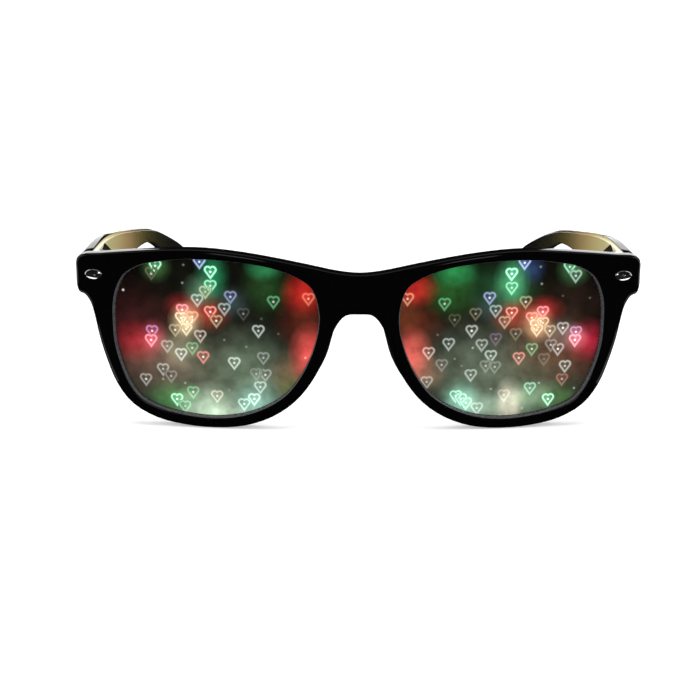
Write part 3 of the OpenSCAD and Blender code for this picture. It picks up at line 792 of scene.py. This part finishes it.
class GLASSES_OT_stage(bpy.types.Operator):
    """Sets up the pale floor, the soft studio light and the camera"""

    bl_idname = "glasses.stage"
    bl_label = "Stage and camera"

    def execute(self, context):
        self.camera(context)
        bpy.ops.mesh.primitive_plane_add(size=FLOOR_SIZE, location=(0, 0, 0))
        floor = context.object
        floor.name = "floor"
        floor.data.materials.append(material_of("floor_paint", self.floor_paint))
        for name, lamp in LAMPS.items():
            self.lamp(name, *lamp)
        paints = {name: material_of(name, self.card_paint, light)
                  for name, light in CARD_PAINTS.items()}
        for name, (place, size, turn, paint) in CARDS.items():
            self.card(name, place, size, turn, paints[paint])
        for side, across in SIDES.items():
            for name, ((x, y, z), size, turn, paint) in SIDE_CARDS.items():
                self.card(f"{side}_{name}", (across * x, y, z), size, turn, paints[paint])
        self.surround(context)
        context.scene.view_settings.view_transform = "Standard"
        return {"FINISHED"}

    @staticmethod
    def camera(context):
        """A camera that frames the object as the photograph does."""
        own = looks().stage
        start, turn = camera_place()
        bpy.ops.object.camera_add(location=start, rotation=turn.to_euler())
        camera = context.object
        camera.name = "camera"
        camera.data.sensor_width = SENSOR
        camera.data.lens = own.focal_px / PICTURE * SENSOR
        camera.data.shift_x = (PICTURE / 2 - own.centre_x) / PICTURE
        camera.data.shift_y = (own.centre_y - PICTURE / 2) / PICTURE
        camera.data.clip_start = NEAREST
        context.scene.camera = camera

    @staticmethod
    def lamp(name, place, aim, size, power):
        """A soft lamp, which doesn't show in reflections."""
        bpy.ops.object.light_add(type="AREA", location=place)
        lamp = bpy.context.object
        lamp.name = name
        lamp.rotation_euler = (Vector(place) - Vector(aim)).to_track_quat("Z", "Y").to_euler()
        lamp.data.shape = "RECTANGLE"
        lamp.data.size, lamp.data.size_y = size
        lamp.data.energy = power
        lamp.visible_glossy = False

    @staticmethod
    def floor_paint(n):
        """Pale floor that reads white to the camera and keeps the object's shadow."""
        path = n.node("ShaderNodeLightPath")
        seen = n.maths("ADD", path.outputs["Is Camera Ray"],
                       n.maths("ADD", path.outputs["Is Glossy Ray"],
                               path.outputs["Is Transmission Ray"]), clamp=True)
        glow = n.map(n.vector("LENGTH", n.place), *FLOOR_GLOW, *FLOOR_REACH)
        n.set(Base_Color=(*looks().stage.floor, 1), Roughness=0.6, Specular_IOR_Level=0.1,
              Emission_Color=(1, 1, 1, 1), Emission_Strength=n.maths("MULTIPLY", seen, glow))

    @staticmethod
    def card_paint(n, light):
        """Matt paint for the studio cards, black or shining white."""
        n.set(Base_Color=(0.01, 0.01, 0.01, 1), Specular_IOR_Level=0,
              Emission_Color=(1, 1, 1, 1), Emission_Strength=light)

    @staticmethod
    def card(name, place, size, turn, paint):
        """A studio card that only shows in reflections."""
        bpy.ops.mesh.primitive_plane_add(size=1, location=place, rotation=turn)
        card = bpy.context.object
        card.name = name
        card.scale = (*size, 1)
        card.data.materials.append(paint)
        for ray in ("camera", "diffuse", "volume_scatter", "shadow"):
            setattr(card, f"visible_{ray}", False)

    @staticmethod
    def surround(context):
        """A white surround that lights softly and shows white behind the floor's edge."""
        world = bpy.data.worlds.new("surround")
        context.scene.world = world
        world.use_nodes = True
        tree = world.node_tree
        background = tree.nodes["Background"]
        background.inputs["Color"].default_value = (1, 1, 1, 1)
        path = tree.nodes.new("ShaderNodeLightPath")
        seen = path.outputs["Is Camera Ray"]
        for ray in ("Glossy", "Transmission"):
            either = tree.nodes.new("ShaderNodeMath")
            either.operation = "MAXIMUM"
            tree.links.new(seen, either.inputs[0])
            tree.links.new(path.outputs[f"Is {ray} Ray"], either.inputs[1])
            seen = either.outputs[0]
        strength = tree.nodes.new("ShaderNodeMapRange")
        strength.inputs["To Min"].default_value = SURROUND_LIGHT
        strength.inputs["To Max"].default_value = 1.0
        tree.links.new(seen, strength.inputs["Value"])
        tree.links.new(strength.outputs["Result"], background.inputs["Strength"])


class GLASSES_OT_front(bpy.types.Operator):
    """Dresses the moulded front in gloss black"""

    bl_idname = "glasses.front"
    bl_label = "Moulded front"

    def execute(self, context):
        shell = copy_of("front_frame", "front_shell")
        drawn = self.draw_in_lips(shell)
        smooth(shell, looks().plastic.smooth_angle)
        face_the_bow(shell)
        finish_piece(shell, "front", "black_plastic",
                     material_of("gloss_black", moulded_plastic), "front_frame")
        shell.data.materials.append(material_of("satin_black", satin_plastic_with_painted_sheen))
        for face in shell.data.polygons:
            if all(corner in drawn for corner in face.vertices) and self.is_wall(face):
                face.material_index = 1
        return {"FINISHED"}

    @staticmethod
    def is_wall(face):
        """Whether a drawn-in face slants towards its lens, and is neither front nor back."""
        return WALL_NORMALS[0] < face.normal.y < WALL_NORMALS[1]

    @staticmethod
    def lip(side, depth):
        """How far a side of a lens opening comes in at this depth."""
        front, back = LIPS[side]
        return front + (back - front) * depth / LIP_DEPTH

    def draw_in_lips(self, shell):
        """Slants the walls of the lens openings inwards, down to the lenses."""
        drawn = set()
        for side, across in SIDES.items():
            low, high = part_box(f"{side}_lens")
            middle, half = (low + high) / 2, (high - low) / 2
            lens = tree_of(f"{side}_lens")
            for vertex in shell.data.vertices:
                co = vertex.co
                depth = co.y - AIM.y - bow(co.x)
                ahead = Vector((co.x, AIM.y - 10 * MM, co.z))
                if depth > LIP_DEPTH or lens.ray_cast(ahead, Vector((0, 1, 0)))[0] is None:
                    continue
                rise = self.lip("bottom" if co.z < middle.z else "top", depth)
                draw = self.lip("outer" if (co.x - middle.x) * across > 0 else "inner", depth)
                x = co.x - (co.x - middle.x) / half.x * draw
                vertex.co = (x, co.y - bow(co.x) + bow(x),
                             co.z - (co.z - middle.z) / half.z * rise)
                drawn.add(vertex.index)
        return drawn


class GLASSES_OT_temples(bpy.types.Operator):
    """Dresses both temples in gloss black"""

    bl_idname = "glasses.temples"
    bl_label = "Temples"

    def execute(self, context):
        for side in SIDES:
            node = f"{side}_temple"
            shell = copy_of(node, f"{node}_shell")
            smooth(shell, looks().plastic.smooth_angle)
            finish_piece(shell, node, "black_plastic",
                         material_of("temple_black", temple_plastic_with_painted_reflection), node)
        return {"FINISHED"}


class GLASSES_OT_lenses(bpy.types.Operator):
    """Makes the two clear lens blanks"""

    bl_idname = "glasses.lenses"
    bl_label = "Clear lenses"

    def execute(self, context):
        for side in SIDES:
            blank = copy_of(f"{side}_lens", f"{side}_clear_lens")
            smooth(blank, LENS_SMOOTH)
            face_the_bow(blank)
            finish_piece(blank, "front", "lens", material_of("clear_lens", clear_plastic),
                         f"{side}_lens")
        return {"FINISHED"}


class GLASSES_OT_films(bpy.types.Operator):
    """Makes the two grating films, and moves their fronts back to leave room for the hearts"""

    bl_idname = "glasses.films"
    bl_label = "Grating films"

    def execute(self, context):
        for side in SIDES:
            node = f"{side}_grating_film"
            film = copy_of(node, f"{side}_lit_film")
            select_faces(film, lambda face: face.normal.y < FILM_FRONT)
            bpy.ops.transform.translate(value=(0, looks().film.gap, 0))
            bpy.ops.object.mode_set(mode="OBJECT")
            smooth(film, LENS_SMOOTH)
            face_the_bow(film)
            finish_piece(film, "front", "grating", grating_film(side), node)
        return {"FINISHED"}


class GLASSES_OT_hearts(bpy.types.Operator):
    """Lays the hearts of light, each with its soft inside and its white dot, into the films"""

    bl_idname = "glasses.hearts"
    bl_label = "Hearts of light"

    def execute(self, context):
        own = looks().film
        models = {
            "outline": self.model_outline(),
            "spot": self.model_spot("spot", own.dot),
            "inside": self.model_spot("inside", own.heart * INSIDE_SIZE),
        }
        joined = []
        for side in SIDES:
            laid = []
            for count, (x, y, colour, strength) in enumerate(HEARTS[side]):
                line, deep = ([linear(c) * strength * own.heart_gain for c in shade]
                              for shade in COLOURS[colour])
                white = [DOT_GAIN * strength * own.heart_gain * c for c in DOT_COLOUR]
                for part, tint in (("outline", line), ("inside", deep), ("spot", white)):
                    _, first, step = LAYERS[part]
                    laid.append(self.lay(models[part], side, x, y, first + step * count, tint))
            for x, y, strength in SPARKS[side]:
                white = [strength * own.heart_gain * c for c in DOT_COLOUR]
                laid.append(self.lay(models["spot"], side, x, y, SPARK_LAYER, white))
            show_only(*laid)
            bpy.ops.object.join()
            bpy.ops.object.transform_apply(location=True, rotation=True, scale=True)
            hearts = context.object
            hearts.name = hearts.data.name = f"{side}_hearts"
            joined.append(hearts)
        show_only(*models.values())
        bpy.ops.object.delete()
        for side, hearts in zip(SIDES, joined):
            finish_piece(hearts, "front", "grating", grating_film(side))
        return {"FINISHED"}

    def model_outline(self):
        """A band round a heart, three rings wide, with its light along the middle ring."""
        own = looks().film
        outline = self.add_disc("heart_outline", LOBE_EDGES, LOBE_RADIUS * own.heart + own.line,
                                "NGON")
        self.draw_out(outline, own.line)
        select_faces(outline, lambda face: True)
        bpy.ops.mesh.bisect(plane_co=(0, 0, 0), plane_no=(1, 0, 0), clear_inner=True,
                            threshold=CUT_WELD)
        bpy.ops.object.mode_set(mode="OBJECT")
        apply_modifier(outline, "MIRROR", merge_threshold=HEART_WELD)
        select_faces(outline, lambda face: True)
        bpy.ops.mesh.remove_doubles(threshold=HEART_WELD)
        bpy.ops.mesh.dissolve_faces()
        bpy.ops.mesh.inset(thickness=own.line)
        bpy.ops.mesh.inset(thickness=own.line)
        bpy.ops.mesh.delete(type="FACE")
        bpy.ops.object.mode_set(mode="OBJECT")
        self.mark_light(outline)
        self.thicken(outline, "outline")
        return outline

    @staticmethod
    def add_disc(name, edges, radius, fill):
        """A flat disc that faces the front."""
        bpy.ops.object.select_all(action="DESELECT")
        bpy.ops.mesh.primitive_circle_add(vertices=edges, radius=radius, fill_type=fill,
                                          location=(0, 0, 0), rotation=UPRIGHT)
        disc = bpy.context.object
        disc.name = name
        bpy.ops.object.transform_apply(location=False, rotation=True, scale=False)
        return disc

    @staticmethod
    def draw_out(outline, more):
        """Moves the lobe to its place, and draws its lower side out to the heart's tip."""
        unit = looks().film.heart
        centre = Vector((LOBE[0] * unit, 0, LOBE[1] * unit))
        radius = LOBE_RADIUS * unit + more
        tip = Vector((0, 0, TIP * unit - more * TIP_DRAW))
        away = tip - centre
        reach = math.acos(radius / away.length)
        select_verts(outline, lambda co: away.angle(co, 0) < reach)
        bpy.ops.mesh.merge(type="CENTER")
        bpy.ops.object.mode_set(mode="OBJECT")
        lowest = min(outline.data.vertices, key=lambda v: (v.co - away).length)
        select_verts(outline, lambda co: (co - lowest.co).length < SAME)
        bpy.ops.transform.translate(value=away - lowest.co)
        bpy.ops.mesh.select_all(action="SELECT")
        bpy.ops.transform.translate(value=centre)
        bpy.ops.object.mode_set(mode="OBJECT")

    def model_spot(self, part, radius):
        """A disc with its light in the middle."""
        spot = self.add_disc(part, SPOT_EDGES, radius, "TRIFAN")
        self.mark_light(spot)
        self.thicken(spot, part)
        return spot

    @staticmethod
    def mark_light(model):
        """Gives a model the attribute light: none at its edges, and full inside them."""
        mesh = model.data
        faces_on = {}
        for face in mesh.polygons:
            for key in face.edge_keys:
                faces_on[key] = faces_on.get(key, 0) + 1
        rim = {vertex for key, count in faces_on.items() if count == 1 for vertex in key}
        light = mesh.attributes.new("light", "FLOAT_COLOR", "POINT")
        for vertex in mesh.vertices:
            level = 0.0 if vertex.index in rim else 1.0
            light.data[vertex.index].color = (level, level, level, 1)

    @staticmethod
    def thicken(model, part):
        """Gives a model its thickness, from its place in the gap back into the film."""
        share = LAYERS[part][0]
        apply_modifier(model, "SOLIDIFY", offset=-1,
                       thickness=HEART_ROOT + 2 * looks().film.gap * share)

    @staticmethod
    def lay(model, side, x, y, share, tint):
        """Copies a model onto a film at a pixel of the photograph, in a tint of its own."""
        copy = model.copy()
        copy.data = model.data.copy()
        bpy.context.collection.objects.link(copy)
        point, normal = film_point(side, x, y)
        copy.location = point + Vector((0, looks().film.gap * (1 - share), 0))
        copy.rotation_euler = (0, 0, math.atan2(normal.x, -normal.y))
        for each in copy.data.attributes["light"].data:
            each.color = (*[each.color[0] * part for part in tint], 1)
        return copy


class GLASSES_OT_rivets(bpy.types.Operator):
    """Makes the polished oval rivets on the end pieces"""

    bl_idname = "glasses.rivets"
    bl_label = "Rivets"

    def execute(self, context):
        for side in SIDES:
            rivet = copy_of(f"{side}_rivet", f"{side}_oval_rivet")
            select_faces(rivet, lambda face: face.normal.y < RIVET_FRONT)
            bpy.ops.mesh.dissolve_faces()
            bpy.ops.object.mode_set(mode="OBJECT")
            head = next(face for face in rivet.data.polygons if face.select)
            centre, out = head.center.copy(), head.normal * looks().metal.rivet_dome
            bpy.ops.object.mode_set(mode="EDIT")
            was = 1.0
            for ring in DOME_RINGS:
                bpy.ops.mesh.extrude_region_move(
                    TRANSFORM_OT_translate={"value": out * (was ** 2 - ring ** 2)})
                bpy.ops.transform.resize(value=[ring / was] * 3,
                                         center_override=centre + out * (1 - ring ** 2))
                was = ring
            bpy.ops.object.mode_set(mode="OBJECT")
            smooth(rivet, RIVET_SMOOTH)
            finish_piece(rivet, "front", "bright_metal", metal("bright_nickel"), f"{side}_rivet")
        return {"FINISHED"}


class GLASSES_OT_hinges(bpy.types.Operator):
    """Makes the hinge leaves and their screws"""

    bl_idname = "glasses.hinges"
    bl_label = "Hinges"

    def execute(self, context):
        for side in SIDES:
            for node, body in ((f"{side}_front_leaf", "front"),
                               (f"{side}_temple_leaf", f"{side}_temple")):
                leaf = self.softened(node, f"{node}_plate", LEAF_BEVEL)
                finish_piece(leaf, body, "hinge_metal", metal("tumbled_nickel"), node)
            node = f"{side}_hinge_screw"
            screw = self.softened(node, f"{side}_slotted_screw", SCREW_BEVEL)
            finish_piece(screw, "front", "bright_metal", metal("bright_nickel"), node)
        return {"FINISHED"}

    @staticmethod
    def softened(node, name, width):
        """A copy of a metal piece, with its edges rubbed round."""
        piece = copy_of(node, name)
        apply_modifier(piece, "BEVEL", width=width, segments=2, limit_method="ANGLE",
                       angle_limit=HINGE_SMOOTH)
        smooth(piece, HINGE_SMOOTH)
        return piece


class GLASSES_PT_panel(bpy.types.Panel):
    """Lists the glasses' operators and looks"""

    bl_idname = "GLASSES_PT_panel"
    bl_label = "Glasses"
    bl_space_type = "VIEW_3D"
    bl_region_type = "UI"
    bl_category = "Glasses"

    def draw(self, context):
        for operator in OPERATORS:
            self.layout.operator(operator.bl_idname)
        for group in ("plastic", "film", "metal", "stage"):
            box = self.layout.box()
            own = getattr(looks(), group)
            for name in own.__annotations__:
                box.prop(own, name)


OPERATORS = (
    GLASSES_OT_stage, GLASSES_OT_front, GLASSES_OT_temples, GLASSES_OT_lenses,
    GLASSES_OT_films, GLASSES_OT_hearts, GLASSES_OT_rivets, GLASSES_OT_hinges,
)
CLASSES = (
    PlasticLooks, FilmLooks, MetalLooks, StageLooks, GlassesLooks, *OPERATORS, GLASSES_PT_panel,
)


def register():
    """Adds the classes and the looks to Blender."""
    for each in CLASSES:
        bpy.utils.register_class(each)
    bpy.types.Scene.glasses = PointerProperty(type=GlassesLooks)


def unregister():
    """Takes the classes and the looks out again."""
    del bpy.types.Scene.glasses
    for each in reversed(CLASSES):
        bpy.utils.unregister_class(each)


def main():
    """Dresses the frame and sets up the studio."""
    register()
    bpy.ops.glasses.stage()
    bpy.ops.glasses.front()
    bpy.ops.glasses.temples()
    bpy.ops.glasses.lenses()
    bpy.ops.glasses.rivets()
    bpy.ops.glasses.hinges()
    bpy.ops.glasses.hearts()
    bpy.ops.glasses.films()
    bpy.context.view_layer.update()


if __name__ == "__main__":
    main()
